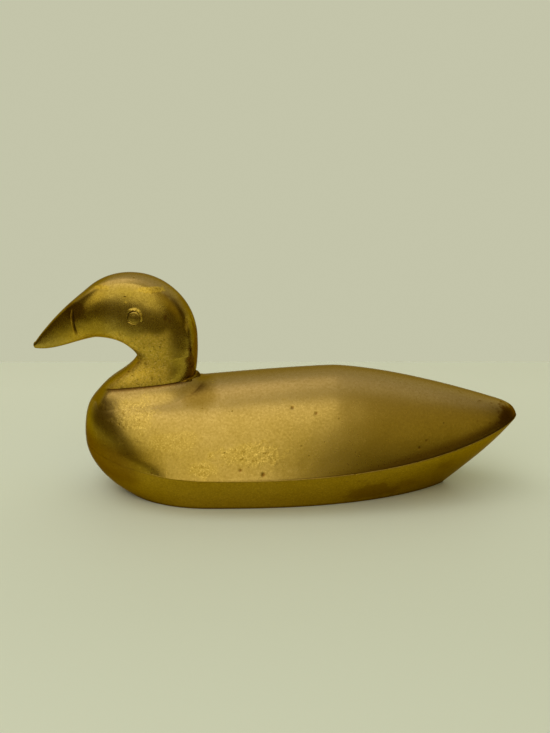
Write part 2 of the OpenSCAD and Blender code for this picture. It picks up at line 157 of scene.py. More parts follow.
def ridge_height(x):
    tail = np.maximum(0, (x - BACK_X) / (TAIL_X - BACK_X))
    saddle = np.maximum(0, (BACK_X - x) / (BACK_X - FOOT_BACK[0]))
    low = joint_height(FOOT_BACK[0])
    back = BACK_Z - (BACK_Z - TAIL_TOP_Z) * tail**1.5 - (BACK_Z - low) * saddle**1.25
    return np.where(x >= FOOT_BACK[0], back, joint_height(x))


def bow_share(x):
    return ease(((WIDEST_X - x) / (WIDEST_X - BREAST_X) - 0.1) / 0.9)


def stern_share(x):
    return ease((x - WIDEST_X) / (TAIL_X - WIDEST_X) / 0.7)


def by_place(x, mid, bow, stern):
    return mix(mix(mid, bow, bow_share(x)), stern, stern_share(x))


# %% Flank above the side edge, bevel below it
BRAZE_T, FOOT_ROUND = 0.8, 0.8


def flank(turn, v, inset, lift):
    """Skin from the side edge, v = 0, to the line of the back, v = 1."""
    x, y = edge_plan(turn, inset)
    z = edge_height(x) + lift
    ridge_x = np.minimum(np.maximum(x, RIDGE_FRONT_X), RIDGE_TAIL_X - TAIL_INSET * inset)
    ridge_z = ridge_height(ridge_x) - inset
    reach = np.hypot(x - ridge_x, y)
    out_x, out_y = (x - ridge_x) / reach, y / reach
    lean = np.radians(by_place(x, 62, 88, 78))
    rise = (ridge_z - z) * by_place(x, 0.52, 0.78, 0.55)
    level = reach * by_place(x, 0.57, 0.78, 0.5)
    slope = ridge_height(ridge_x + 0.5) - ridge_height(ridge_x - 0.5)
    across = two_handles(reach, reach - rise * np.cos(lean), level, 0, v)
    up = two_handles(z, z + rise * np.sin(lean), ridge_z + slope * out_x * level, ridge_z, v)
    return np.stack([ridge_x + out_x * across, out_y * across, up], -1)


def bevel(turn, v):
    """Skin from the rim of the resting face, v = 0, to the side edge, v = 1."""
    bx, by = base_plan(turn, 0)
    ex, ey = edge_plan(turn, 0)
    ez = edge_height(ex) - BRAZE_T / 2
    bow, stern = bow_share(ex), stern_share(ex)
    pull_out = 0.5 + 0.18 * stern + 0.36 * bow
    pull_up = 0.5 + 0.06 * stern - 0.1 * bow
    x = one_handle(bx, mix(bx, ex, pull_out), ex, v)
    y = one_handle(by, mix(by, ey, pull_out), ey, v)
    z = one_handle(FOOT_ROUND, mix(FOOT_ROUND, ez, pull_up), ez, v)
    return np.stack([x, y, z], -1)


FILED_REACH, FILED_TO_X, FILED_FADE = 7.0, -62, 24
CORNER_FRONT, CORNER_MORE = 12, 21


def filed(x, from_edge):
    """How much metal the file took off round the breast, where the side edge is dressed away."""
    corner = np.radians(CORNER_FRONT + CORNER_MORE * np.clip((x + 115) / 40, 0, 1))
    deep = FILED_REACH / 4 * corner * ease((FILED_TO_X - x) / FILED_FADE)
    return deep * np.maximum(0, 1 - from_edge / FILED_REACH) ** 2


def edge_line(turn, inset, lift):
    x, y = edge_plan(turn, inset)
    return np.stack([x, y, edge_height(x) + lift], -1)


print("side edge from", edge_line(np.pi, 0, 0), "to", edge_line(0.0, 0, 0))

# %% [markdown]
# A skin is a stack of rings with the same number of points. Even steps along the side edge keep
# its quads nearly square. A mesh object is made from the stack once, closed at both ends or
# looped on itself, and hard edges are marked wherever two faces meet at a strong angle. A rough
# cage could be rounded by a modifier, but a stack puts each point where the rule says.

# %% Ring stacks and mesh objects
MM = 0.001
WALK_STEPS = 4001
SAME_POINT = 1e-6


def even_turns(count, outline):
    """Angles that step evenly along an outline and fall on the tail and the breast."""
    fine = np.linspace(0, np.pi, WALK_STEPS)
    x, y = outline(fine)
    walked = np.concatenate([[0], np.cumsum(np.hypot(np.diff(x), np.diff(y)))])
    half = np.interp(np.linspace(0, walked[-1], count // 2 + 1), walked, fine)
    return np.concatenate([half, 2 * np.pi - half[-2:0:-1]])


def ring_faces(rings, count, looped=False):
    ring, point = np.meshgrid(np.arange(rings if looped else rings - 1), np.arange(count), indexing="ij")
    beside, above = (point + 1) % count, (ring + 1) % rings
    return np.stack([ring * count + point, ring * count + beside,
                     above * count + beside, above * count + point], -1).reshape(-1, 4)


def fan_faces(first, count, centre):
    point = np.arange(count)
    return np.stack([first + point, first + (point + 1) % count, np.full(count, centre)], -1)


def mesh_piece(name, points, faces, hard_angle=40, **marks):
    """Closed mesh from points in millimetres. Each mark is one number per point, such as grime."""
    mesh = bpy.data.meshes.new(name)
    mesh.from_pydata((np.asarray(points) * MM).tolist(), [], [f for part in faces for f in part.tolist()])
    for label, values in marks.items():
        layer = mesh.attributes.new(label, "FLOAT", "POINT")
        layer.data.foreach_set("value", np.asarray(values, float).ravel())
    shape = bmesh.new()
    shape.from_mesh(mesh)
    bmesh.ops.remove_doubles(shape, verts=shape.verts, dist=SAME_POINT)
    bmesh.ops.recalc_face_normals(shape, faces=shape.faces)
    for face in shape.faces:
        face.smooth = True
    for edge in shape.edges:
        edge.smooth = len(edge.link_faces) != 2 or edge.calc_face_angle() < np.radians(hard_angle)
    open_edges = sum(len(edge.link_faces) != 2 for edge in shape.edges)
    shape.to_mesh(mesh)
    shape.free()
    piece = bpy.data.objects.new(name, mesh)
    bpy.context.scene.collection.objects.link(piece)
    print(name, len(mesh.polygons), "faces,", open_edges, "open edges")
    return piece


def looped_piece(name, rings, hard_angle=60, **marks):
    """Piece from a stack of rings that closes on itself, as a tube bent into a ring does."""
    faces = ring_faces(len(rings), rings.shape[1], looped=True)
    return mesh_piece(name, rings.reshape(-1, 3), [faces], hard_angle, **marks)


def waver(points, size, seed):
    """Slow, soft unevenness over a surface, about -1 to 1, with humps of this size."""
    shift = Vector((seed * 7.3, seed * 3.1, seed * 5.7))
    humps = [noise.noise(Vector(p) / size + shift) for p in points.reshape(-1, 3)]
    return np.array(humps).reshape(points.shape[:-1])


def spots(points, places, seed, fray=1.0, soft=1.0):
    """Ragged spots on a skin. Each place is x, side, z, half length, half height and strength.

    More fray tears the edge of a spot, and a softer spot fades over a wider rim.
    """
    ragged = 1 + fray * (0.8 * waver(points, 6, seed) + 0.7 * waver(points, 2, seed + 1))
    total = np.zeros(points.shape[:-1])
    for x, side, z, half_x, half_z, strength in places:
        far = ((points[..., 0] - x) / half_x) ** 2 + ((points[..., 2] - z) / half_z) ** 2
        spot = ease((1 - far * ragged) / soft + 0.5)
        total = np.maximum(total, strength * (points[..., 1] * side > 0) * spot)
    return total


def both_sides(places):
    """The same spots on the near and the far side, from x, z, half length, half height, strength."""
    return [(x, side, z, *rest) for x, z, *rest in places for side in (-1, 1)]


def out_normals(grid):
    """Normals of a stack of closed rings, ring by ring."""
    along = np.roll(grid, -1, 1) - np.roll(grid, 1, 1)
    up = np.gradient(grid, axis=0)
    normal = np.cross(along, up)
    return normal / np.maximum(np.linalg.norm(normal, axis=-1, keepdims=True), 1e-9)


# %% [markdown]
# The back casting is a shell. Its skin was filed and rubbed by hand, so it isn't a perfect
# curve: the light shows slow hollows, at most two tenths of a millimetre deep. They are moved into
# the mesh and fade out at the side edge, where the joint stays closed, and at the line of the back.
# A bump would leave the outline perfect, and sculpting wouldn't give the same shape twice.

# %% Back casting
WALL = 4
BODY_COUNT, FLANK_RINGS, INNER_RINGS = 720, 96, 12
turns = even_turns(BODY_COUNT, lambda turn: edge_plan(turn, 0))
levels = np.linspace(0, 1, FLANK_RINGS)
outer = np.array([flank(turns, v, 0, BRAZE_T / 2) for v in levels])
inner = np.array([flank(turns, v, WALL, BRAZE_T / 2) for v in np.linspace(1, 0, INNER_RINGS)])
out_way = out_normals(outer)
from_edge = np.linalg.norm(outer - outer[0], axis=-1)
EDGE_SETTLE, RIDGE_SETTLE = 0.12, 0.25
settle = (ease(levels / EDGE_SETTLE) * ease((1 - levels) / RIDGE_SETTLE))[:, None]
hand_work = 0.15 * waver(outer, 26, 1) + 0.05 * waver(outer, 9, 2)
filing = filed(outer[..., 0], from_edge)
outer = outer + out_way * (hand_work * settle - filing)[..., None]
print("deepest filing", round(float(filing.max()), 2), "mm")

# %% [markdown]
# Where the brass is worn, stained, grimy or aged, and where shade or a sheen is painted on, is laid on the
# points of the mesh as marks, and the materials read them later. They could be painted on an image, but marks
# on points need no unwrapping and follow the real edges. Pits and torn grain are moved into the mesh as well.

# %% Pits, rough places, stains and painted shade on the back casting
ROUGH_BACK = [(-16, -1, 35, 19, 6, 1.0), (-87, -1, 55, 12, 9, 0.8), (-44, -1, 28, 8, 4, 0.8),
              (-62, -1, 42, 16, 5, 0.5), (36, 1, 40, 16, 7, 0.6), (-60, 1, 46, 12, 8, 0.5)]
# Dark spots just behind the foot of the neck, on both sides, are painted shade. They go into the grime and
# aged marks of the back casting and of the collar.
DIRTY_BACK = [(-48, -1, 66, 10, 7, 0.75), (-48, 1, 66, 10, 7, 0.6)]
SMUDGE = {"fray": 0.35, "soft": 1.9}
STAINED_BACK = both_sides([(149, 46, 14, 9, 1.2)])
BREAST_BROWN_X = -76
SMUDGE_GRIME = 0.3
PITS_BACK = [(8.7, -1, 60.5, 0.9), (22.9, -1, 57.5, 0.8), (-8.5, -1, 25.2, 1.2), (-22, -1, 27.5, 0.9),
             (84.5, -1, 37.2, 0.8), (40, 1, 55, 1.0), (-30, 1, 36, 1.1)]
PIT_DEEP, PIT_DARK, PIT_RIM = 0.35, 1.4, 1.3
rough_back = spots(outer, ROUGH_BACK, 11)
stain_back = spots(outer, STAINED_BACK, 12)
crumple = 0.10 * waver(outer, 2.6, 13) + 0.08 * waver(outer, 1.5, 14)
sunk = rough_back * settle * crumple
for x, side, z, radius in PITS_BACK:
    far = np.hypot(outer[..., 0] - x, outer[..., 2] - z) / radius
    same_side = outer[..., 1] * side > 0
    sunk = sunk - PIT_DEEP * same_side * np.maximum(0, 1 - far**2)
    stain_back = np.maximum(stain_back, PIT_DARK * same_side * np.maximum(0, PIT_RIM - far))
outer = outer + out_way * sunk[..., None]
grime_tall = 0.5 + 1.2 * ease((outer[..., 0] - 20) / 90)
grime_back = ease((outer[..., 0] + 60) / 110) * ease(1.3 - from_edge / grime_tall)
dirty_back = spots(outer, DIRTY_BACK, 22, **SMUDGE)
grime_back = np.maximum(grime_back, SMUDGE_GRIME * dirty_back)
edge_brown = 0.9 * ease((outer[..., 0] - 20) / 60) * ease(1.4 - from_edge / (4 * grime_tall))
# Brown round the breast near the side edge is tarnish and a painted dark reflection band.
bow_brown = 0.85 * ease((BREAST_BROWN_X - outer[..., 0]) / 20) * ease(1.5 - from_edge / 10)
stain_back = np.maximum(stain_back, np.maximum(edge_brown, bow_brown))
aged_back = np.maximum(dirty_back, ease((-60 - outer[..., 0]) / 25) * ease(1.3 - from_edge / 16))
spare = np.zeros(inner.shape[:-1])
back = mesh_piece("back_shell", np.concatenate([inner, outer]).reshape(-1, 3),
                  [ring_faces(INNER_RINGS + FLANK_RINGS, BODY_COUNT)],
                  worn=np.concatenate([spare, rough_back]), stain=np.concatenate([spare, stain_back]),
                  grime=np.concatenate([spare, grime_back]), aged=np.concatenate([spare, aged_back]))

# %% [markdown]
# The bottom casting has the flat resting face, a bevel that flares out to the side edge, and a
# vent hole in its floor. One looped stack of rings makes it: out from the hole over the flat
# face, round the rim, up the bevel, over the edge, down the inside and back to the hole. The
# hole could be cut with a boolean, but a looped stack leaves no cut edges to mend.

# %% Bottom casting
VENT_X, VENT_R, FLOOR_T = -20, 1.5, 4
LIP_IN, LIP_T, LIP_REACH = 4.3, 2.5, 0.09
SOLE_RINGS, SLOPE_RINGS, FLOOR_RINGS = 10, 30, 6


def vent_ring(z):
    x, y = base_plan(turns, FOOT_ROUND)
    bearing = np.arctan2(y, x - VENT_X)
    return np.stack([VENT_X + VENT_R * np.cos(bearing), VENT_R * np.sin(bearing), np.full(BODY_COUNT, z)], -1)


def base_ring(inset, z):
    x, y = base_plan(turns, inset)
    return np.stack([x, y, np.full(BODY_COUNT, z)], -1)


rim_turn = np.radians([30, 60])
sole = [mix(vent_ring(0.0), base_ring(FOOT_ROUND, 0.0), share) for share in np.linspace(0, 1, SOLE_RINGS)]
rim = [base_ring(FOOT_ROUND * (1 - np.sin(a)), FOOT_ROUND * (1 - np.cos(a))) for a in rim_turn]
slope_levels = np.linspace(0, 1, SLOPE_RINGS)
slope = np.array([bevel(turns, v) for v in slope_levels])
slope_work = 0.12 * waver(slope, 22, 3) + 0.05 * waver(slope, 8, 4)
slope_settle = ease(slope_levels / 0.15) * ease((1 - slope_levels) / 0.12)
under_edge = np.linalg.norm(slope - slope[-1], axis=-1)
slope_work = slope_work * slope_settle[:, None] - filed(slope[..., 0], under_edge)
slope = slope + out_normals(slope) * slope_work[..., None]
inside = [edge_line(turns, LIP_IN, -BRAZE_T / 2), flank(turns, LIP_REACH, LIP_IN, BRAZE_T / 2),
          flank(turns, LIP_REACH, LIP_IN + LIP_T, BRAZE_T / 2),
          edge_line(turns, LIP_IN + LIP_T, -BRAZE_T / 2)]
floor_rings = [mix(base_ring(WALL, float(FLOOR_T)), vent_ring(float(FLOOR_T)), share)
               for share in np.linspace(0, 1, FLOOR_RINGS)]
bottom_rings = np.array(sole + rim + list(slope) + inside + floor_rings)
STAINED_BOTTOM = [(57, -1, 8, 15, 6, 0.7), (78, -1, 11, 7, 4, 0.4), (103, -1, 22, 6, 4, 0.4),
                  (20, 1, 8, 18, 6, 0.4), (-50, 1, 9, 12, 5, 0.3), (90, 1, 14, 12, 5, 0.4)]
aged = np.ones(bottom_rings.shape[:2])
stain_bottom = spots(bottom_rings, STAINED_BOTTOM, 15)
# Under the breast the bevel carries the same tarnish and painted dark band.
bow_under = ease((BREAST_BROWN_X - bottom_rings[..., 0]) / 15) * ease(bottom_rings[..., 2] / 12 - 0.6)
stain_bottom = np.maximum(stain_bottom, 0.85 * bow_under)
# The bottom casting is darker toward its resting face.
grime_bottom = 0.7 * ease(1.4 - bottom_rings[..., 2] / 1.6)
bottom = looped_piece("bottom_shell", bottom_rings, 40, aged=aged, stain=stain_bottom,
                      grime=grime_bottom, worn=np.full(aged.shape, 0.35))

# %% [markdown]
# The head and neck are one solid casting. Two lines seen from the side guide it, the front from
# the foot of the neck over the throat and chin to the tip of the beak, and the back from the
# foot over the nape and the round crown to the same tip. Rounded squares are hung between them.
# A box could be pulled into a head, but then its outline is found late. Here it is drawn first.

# %% Head lines seen from the side
CURVE_PULL = 0.33
THROAT, CHIN = np.array([-87.5, 86.6]), np.array([-112.75, 97.6])
CROWN, CROWN_R, CROWN_END = np.array([-90.5, 97]), 40.5, 128
TIP_ROUND = 1.3
TIP_LOW = np.array([BEAK_X + TIP_ROUND, 90])
TIP_HIGH = np.array([BEAK_X + TIP_ROUND, 94.2])


def way(angle):
    return np.array([np.cos(np.radians(angle)), np.sin(np.radians(angle))])


def side_curve(start, start_way, end, end_way, v):
    pull = CURVE_PULL * np.linalg.norm(end - start)
    return two_handles(start, start + pull * way(start_way), end - pull * way(end_way), end, v)


def front_line(s):
    if s <= 1:
        return side_curve(FOOT_FRONT, 49, THROAT, 60, s)
    if s <= 2:
        return side_curve(THROAT, 115, CHIN, 180, s - 1)
    return side_curve(CHIN, 188, TIP_LOW, 176, s - 2)


def back_line(s):
    if s <= 1:
        return side_curve(FOOT_BACK, 76, CROWN + CROWN_R * way(0), 92, s)
    if s <= 2:
        return CROWN + CROWN_R * way((s - 1) * CROWN_END)
    return side_curve(CROWN + CROWN_R * way(CROWN_END), CROWN_END + 90, TIP_HIGH, 233, s - 2)


# %% Head sections
NECK_HALF, NAPE_HALF, CHEEK_HALF, BROW_HALF, TIP_HALF = 17.6, 16, 16.6, 15, 2.2
BEAK_TAPER = 1.25


def head_half(s):
    if s <= 0.9:
        return mix(NECK_HALF, NAPE_HALF, ease(s / 0.9))
    if s <= 1.5:
        return mix(NAPE_HALF, CHEEK_HALF, ease((s - 0.9) / 0.6))
    if s <= 2:
        return mix(CHEEK_HALF, BROW_HALF, ease((s - 1.5) / 0.5))
    return mix(BROW_HALF, TIP_HALF, (s - 2) ** BEAK_TAPER)


HEAD_SECTION = np.array([11, 0.2, 0.14])
ROUND_SECTION = np.array([2, 0, 0])
CROWN_FULL, NAPE_SQUARE = 0.35, 6


def section(angles, kind, back_square):
    """Slab of half size 1 with rounded ends: squareness, rounding of the ends and of the sides."""
    square, end_round, side_round = kind
    c, s = np.cos(angles), np.sin(angles)
    square = np.where(c > 0, back_square, square)
    r = (np.abs(c) ** square + np.abs(s) ** square) ** (-1 / square)
    u, w = r * c, r * s
    return u * (1 - end_round * w * w), w * (1 - side_round * u * u * (1 + CROWN_FULL * np.maximum(u, 0)))


def rounded_loop(centre, half, half_width, kind, back_square, angles):
    """Section with its long axis along half, a vector seen from the side."""
    u, w = section(angles, kind, back_square)
    return np.stack([centre[0] + half[0] * u, half_width * w, centre[1] + half[1] * u], -1)


def head_ring(s, angles):
    """The nape is round. Toward the crown its edges get as crisp as those of the front."""
    front, back_point = front_line(s), back_line(np.interp(s, [0, 1, 2, 3], [0, 0.62, 1.9, 3]))
    kind = mix(HEAD_SECTION, ROUND_SECTION, max(0, s - 2))
    nape = min(mix(NAPE_SQUARE, HEAD_SECTION[0], ease((s - 0.75) / 0.45)), kind[0])
    return rounded_loop((front + back_point) / 2, (back_point - front) / 2, head_half(s), kind, nape, angles)


FOOT_MID = (FOOT_FRONT + FOOT_BACK) / 2
FOOT_HALF = np.linalg.norm(FOOT_BACK - FOOT_FRONT) / 2


def foot_ring(drop, half_length, half_width, kind, angles):
    centre = FOOT_MID + drop * np.array([np.sin(FOOT_TILT), -np.cos(FOOT_TILT)])
    return rounded_loop(centre, half_length * np.array([np.cos(FOOT_TILT), np.sin(FOOT_TILT)]),
                        half_width, kind, min(NAPE_SQUARE, kind[0]), angles)


def neck_foot(drop, angles):
    return foot_ring(drop, FOOT_HALF, NECK_HALF, HEAD_SECTION, angles)


# %% [markdown]
# Eye and beak line were cut by hand with a chisel. Near them the rings and the points round each
# ring stand closer, so that the cuts are real shape. The chisel leaves a ring round a low disc,
# with a raised burr over its top and tail side, and a line across the beak with a burr in front.
# A cut with another solid would leave bare crisp edges, while a chisel pushes metal aside, so
# the height is worked out point by point.

# %% Close rings where the chisel cut
EYE = np.array([-86.1, 112.5])
EYE_R, EYE_RING, EYE_DEEP, EYE_REACH = 4.2, 0.9, 0.6, 9
LINE_AT, LINE_SLANT, LINE_HALF, LINE_DEEP = 2.28, 0.06, 0.7, 0.8
LINE_UP, LINE_DOWN = 38, 42
BEAK_LENGTH = np.linalg.norm(TIP_HIGH - CHIN)


CROWD_STEPS = 6001


def crowd(low, high, count, dense):
    """Steps from low to high, denser near each place (centre, width, how much denser)."""
    fine = np.linspace(low, high, CROWD_STEPS)
    density = np.ones(CROWD_STEPS)
    for centre, width, closer in dense:
        density += closer * np.exp(-(((fine - centre) / width) ** 4))
    walked = np.concatenate([[0], np.cumsum((density[1:] + density[:-1]) / 2)])
    return np.interp(np.linspace(0, walked[-1], count), walked, fine)


search_s, search_a = np.meshgrid(np.linspace(1, 2, 101), np.radians(np.linspace(20, 160, 141)),
                                 indexing="ij")
search = np.array([head_ring(s, a) for s, a in zip(search_s[:, 0], search_a)])
nearest = np.argmin(np.hypot(search[..., 0] - EYE[0], search[..., 2] - EYE[1]))
eye_s, eye_a = search_s.flat[nearest], search_a.flat[nearest]
print("eye at place", round(eye_s, 2), "angle", round(np.degrees(eye_a)))

HEAD_RINGS, HALF_COUNT = 260, 131
SECTION_EDGES = np.radians([45, 135])
places = crowd(0, 3, HEAD_RINGS, [(eye_s, 0.16, 2.5), (LINE_AT - 0.02, 0.07, 6)])
half_angles = crowd(0, np.pi, HALF_COUNT, [(eye_a, 0.25, 1.5)] + [(turn, 0.14, 4) for turn in SECTION_EDGES])
HEAD_ANGLES = np.concatenate([half_angles, 2 * np.pi - half_angles[-2:0:-1]])
HEAD_COUNT = len(HEAD_ANGLES)
head_grid = np.array([head_ring(s, HEAD_ANGLES) for s in places])
head_out = out_normals(head_grid)

# %% Eye and beak line
side_angle = np.degrees(np.where(HEAD_ANGLES > np.pi, 2 * np.pi - HEAD_ANGLES, HEAD_ANGLES))
from_eye = head_grid[..., [0, 2]] - EYE
eye_far = np.hypot(from_eye[..., 0], from_eye[..., 1])
eye_way = np.degrees(np.arctan2(from_eye[..., 1], from_eye[..., 0]))
CHEEK_FROM = 8
on_side = np.abs(head_grid[..., 1]) > CHEEK_FROM
near_eye = on_side & (eye_far < EYE_REACH)
ring_mid = EYE_R - EYE_RING / 2
ring_cut = EYE_DEEP * ease(1.35 - np.abs(eye_far - ring_mid) / (EYE_RING / 2) * 1.1)
ring_cut = ring_cut * (0.6 + 0.4 * np.cos(np.radians(eye_way - 140)))
disc_dome = 0.2 * ease(1 - eye_far / (EYE_R - EYE_RING))
burr_turn = ease((eye_way + 35) / 25) * ease((140 - eye_way) / 20)
burr_ragged = 0.65 + 0.35 * np.sin(np.radians(eye_way * 8)) * np.sin(np.radians(eye_way * 3 + 40))
eye_burr = 0.85 * burr_turn * burr_ragged * np.exp(-(((eye_far - EYE_R - 0.4) / 0.5) ** 2))
eye_shape = np.where(near_eye, eye_burr + disc_dome - ring_cut, 0)

line_share = (side_angle - (90 - LINE_UP)) / (LINE_UP + LINE_DOWN)
line_fade = ease(4 * np.minimum(line_share, 1 - line_share))
from_line = (places[:, None] - LINE_AT + LINE_SLANT * np.clip(line_share, 0, 1) ** 3) * BEAK_LENGTH
line_cut = LINE_DEEP * np.maximum(0, 1 - np.abs(from_line) / LINE_HALF) ** 0.8
line_burr = 0.5 * ease(line_share * 3) * np.exp(-(((from_line - 1.1) / 0.45) ** 2))
line_shape = line_fade * (line_burr - line_cut)

head_work = 0.14 * waver(head_grid, 16, 5) + 0.05 * waver(head_grid, 6, 6)
head_settle = ease(places / 0.12)[:, None] * ease((3 - places) / 0.2)[:, None]
CHEEK_RING = 125
outward = -1 if np.mean(head_out[CHEEK_RING, : HEAD_COUNT // 2, 1]) < 0 else 1
lift = eye_shape + line_shape + head_work * head_settle
print("highest burr", round(float((eye_shape + line_shape).max()), 2), "mm")

# %% [markdown]
# Hands have rubbed the cheek and the neck, and the lower cheek and neck are also painted lighter, a painted
# sheen. Small painted highlights sit on the crown edge and behind the head. Dirt stays in the cuts and round
# the foot of the neck, and painted shade lies in the throat corner, at the nape and behind the eye. These are
# marks on the points again. Those of the cuts are taken from the same measures as the cuts, so the dirt lies
# in them.

# %% Worn cheek with painted sheen, dirt in the cuts and painted shade
WORN_TOP, WORN_SOFT, NAPE_X, BEAK_WORN_X = 106, 6, -60, -140
# The lower cheek and neck are lighter and more golden: rubbed wear, with a painted sheen.
worn_head = ease((WORN_TOP - head_grid[..., 2] + 3 * waver(head_grid, 9, 16)) / WORN_SOFT)
worn_head = worn_head * ease((NAPE_X - head_grid[..., 0]) / 10)
worn_head = worn_head * ease((head_grid[..., 0] - BEAK_WORN_X) / 25)
# Small bright spots on the crown edge and behind the head are painted highlights.
RUBBED = both_sides([(-76, 128.5, 8, 1.6, 1.0), (-55, 108, 1.3, 4, 1.0), (-106, 130, 5, 1.2, 0.7)])
worn_head = np.maximum(worn_head, spots(head_grid, RUBBED, 23))
worn_head = np.maximum(worn_head, np.where(on_side, 1.6 * eye_burr, 0) + 2.9 * line_fade * line_burr)
aged_head = 0.7 * ease((-98 - head_grid[..., 0]) / 10) * ease((head_grid[..., 2] - 92) / 10)
front_share = ease((-np.cos(HEAD_ANGLES) - 0.72) / 0.15)
aged_head = np.maximum(aged_head, front_share * ease((100 - head_grid[..., 2]) / 6))
worn_head = worn_head * (1 - front_share * ease((90 - head_grid[..., 2]) / 12))
scuffs = 0.035 * waver(head_grid, 2.2, 17) + 0.03 * waver(head_grid, 1.3, 18)
lift = lift + worn_head * head_settle * scuffs
grime_head = np.where(near_eye, 0.8 * ring_cut / EYE_DEEP, 0) + line_fade * line_cut / LINE_DEEP
# A dark spot in the throat corner is painted shade.
THROAT_DIRT = both_sides([(-85.5, 88.5, 4, 3, 0.5)])
grime_head = np.maximum(grime_head, spots(head_grid, THROAT_DIRT, 19))
foot_dirt = ease((0.05 - places) / 0.025)[:, None] * ease((np.cos(HEAD_ANGLES) + 0.75) / 0.35)
grime_head = np.maximum(grime_head, foot_dirt)
# The tall spot at the nape and the spot behind the eye are painted shade. The spot on the upper beak is
# patina.
STAINED_HEAD = both_sides([(-47.5, 89, 5.5, 21, 1.1), (-122, 115, 6, 5, 0.8), (-60, 117, 8, 5, 0.4)])
stain_head = spots(head_grid, STAINED_HEAD, 21)
head_grid = head_grid + outward * head_out * lift[..., None]
CROWN_BELOW = 0.06
head_grid[..., 2] = np.minimum(head_grid[..., 2], CROWN[1] + CROWN_R - CROWN_BELOW)

# %% Head casting
SPIGOT_R, SPIGOT_L, SPIGOT_CHAMFER = 10.9, 16, 1.2


def spigot_ring(drop, radius):
    return foot_ring(drop, radius, radius, ROUND_SECTION, HEAD_ANGLES)


tip_ring = head_ring(3, HEAD_ANGLES)
tip_mid = np.array([TIP_LOW[0], 0, (TIP_LOW[1] + TIP_HIGH[1]) / 2])
tip_rings = [tip_mid + np.array([-TIP_ROUND * np.sin(a), 0, 0]) + np.cos(a) * (tip_ring - tip_mid)
             for a in np.radians([20, 40, 55, 68, 80])]
head_rings = np.array([spigot_ring(SPIGOT_L, SPIGOT_R - SPIGOT_CHAMFER),
                       spigot_ring(SPIGOT_L - SPIGOT_CHAMFER, SPIGOT_R), spigot_ring(0, SPIGOT_R)]
                      + list(head_grid) + tip_rings)
spigot_end = np.mean(head_rings[0], 0)
beak_end = tip_mid - np.array([TIP_ROUND, 0, 0])
flat = head_rings.reshape(-1, 3)


def on_head(values):
    """Marks for every point of the casting. The spigot below and the rounded beak tip have none."""
    below, beyond = np.zeros(3 * HEAD_COUNT), np.zeros(len(tip_rings) * HEAD_COUNT + 2)
    return np.concatenate([below, values.ravel(), beyond])


head = mesh_piece("head_solid", np.vstack([flat, spigot_end, beak_end]),
                  [ring_faces(len(head_rings), HEAD_COUNT), fan_faces(0, HEAD_COUNT, len(flat)),
                   fan_faces(len(flat) - HEAD_COUNT, HEAD_COUNT, len(flat) + 1)],
                  worn=on_head(np.minimum(worn_head, 1)), grime=on_head(grime_head),
                  stain=on_head(stain_head), aged=on_head(aged_head))

# %% [markdown]
# Below the neck the breast rises to meet it in a hollow curve. It is part of the back casting: a
# collar that runs out 9 to 10.5 mm and ends flush with the skin. At the breast it leaves the neck
# in the neck's own direction. At the sides it leaves sharply, so the neck stands in a crease.
# A fillet has one radius all round. Here each column of points is a curve of its own, down to
# where a ray meets the skin, so the form can change from the breast to the sides.

# %% Collar at the foot of the neck
COLLAR_COUNT, COLLAR_STEPS = 400, 20
COLLAR_RUN, SIDE_MORE, FRONT_MORE = 9.0, 1.5, 0.5
COLLAR_PULL, COLLAR_SINK, COLLAR_WALL, COLLAR_DEEP = 0.36, 0.06, 1.5, 2.0
RAY_FROM, DOWN = np.array([0, 0, 0.05]), Vector((0, 0, -1))
SMOOTH_OVER = 8


def unit(rows):
    return rows / np.linalg.norm(rows, axis=1, keepdims=True)


collar_angles = even_turns(COLLAR_COUNT, lambda angles: neck_foot(0, angles)[:, :2].T)
shell_points = [v.co for v in back.data.vertices]
shell_tree = BVHTree.FromPolygons(shell_points, [p.vertices for p in back.data.polygons])
COLLAR_PLACE, COLLAR_PROUD = 0.022, 0.04
neck_line = head_ring(COLLAR_PLACE, collar_angles)
neck_way = unit(neck_line - head_ring(COLLAR_PLACE / 2, collar_angles))
along_rim = np.roll(neck_line, -1, 0) - np.roll(neck_line, 1, 0)
rim_out = unit(np.stack([along_rim[:, 1], -along_rim[:, 0], np.zeros(COLLAR_COUNT)], -1))
rim_line = neck_line + rim_out * COLLAR_PROUD
at_front = ease((-rim_out[:, 0] - 0.25) / 0.6)
rim_reach = COLLAR_RUN + SIDE_MORE * np.abs(rim_out[:, 1]) * (1 - at_front) + FRONT_MORE * at_front
leave_way = unit(mix(rim_out + np.array([0, 0, -0.5]), -neck_way, at_front[:, None]))


def on_shell(point):
    """Where a plumb line through the point meets the back casting, and the way its skin faces."""
    hit, normal, _, _ = shell_tree.ray_cast(Vector(point * MM + RAY_FROM), DOWN)
    return np.array(hit) / MM, np.array(normal)


landings, normals = (np.array(part) for part in zip(*map(on_shell, rim_line + rim_out * rim_reach[:, None])))
normals = unit(sum(np.roll(normals, shift, 0) for shift in range(-SMOOTH_OVER, SMOOTH_OVER + 1)))
collar_columns = []
for k in range(COLLAR_COUNT):
    landing, normal = landings[k], normals[k]
    run = rim_out[k] - normal * np.dot(normal, rim_out[k])
    run /= np.linalg.norm(run)
    chord = np.linalg.norm(landing - rim_line[k])
    landing = landing - normal * COLLAR_SINK
    column = [two_handles(rim_line[k], rim_line[k] + leave_way[k] * chord * COLLAR_PULL,
                          landing - run * chord * COLLAR_PULL, landing, v)
              for v in np.linspace(0, 1, COLLAR_STEPS)]
    inner_rim = rim_line[k] - rim_out[k] * COLLAR_WALL
    sunk = [landing - normal, inner_rim - np.array([0, 0, COLLAR_DEEP])]
    collar_columns.append(column + sunk + [inner_rim])
collar_rings = np.transpose(np.array(collar_columns), (1, 0, 2))
crease = np.array([1.0, 0.6, 0.1] + COLLAR_STEPS * [0])
at_side = ease((rim_out[:, 0] + 0.8) / 0.35)
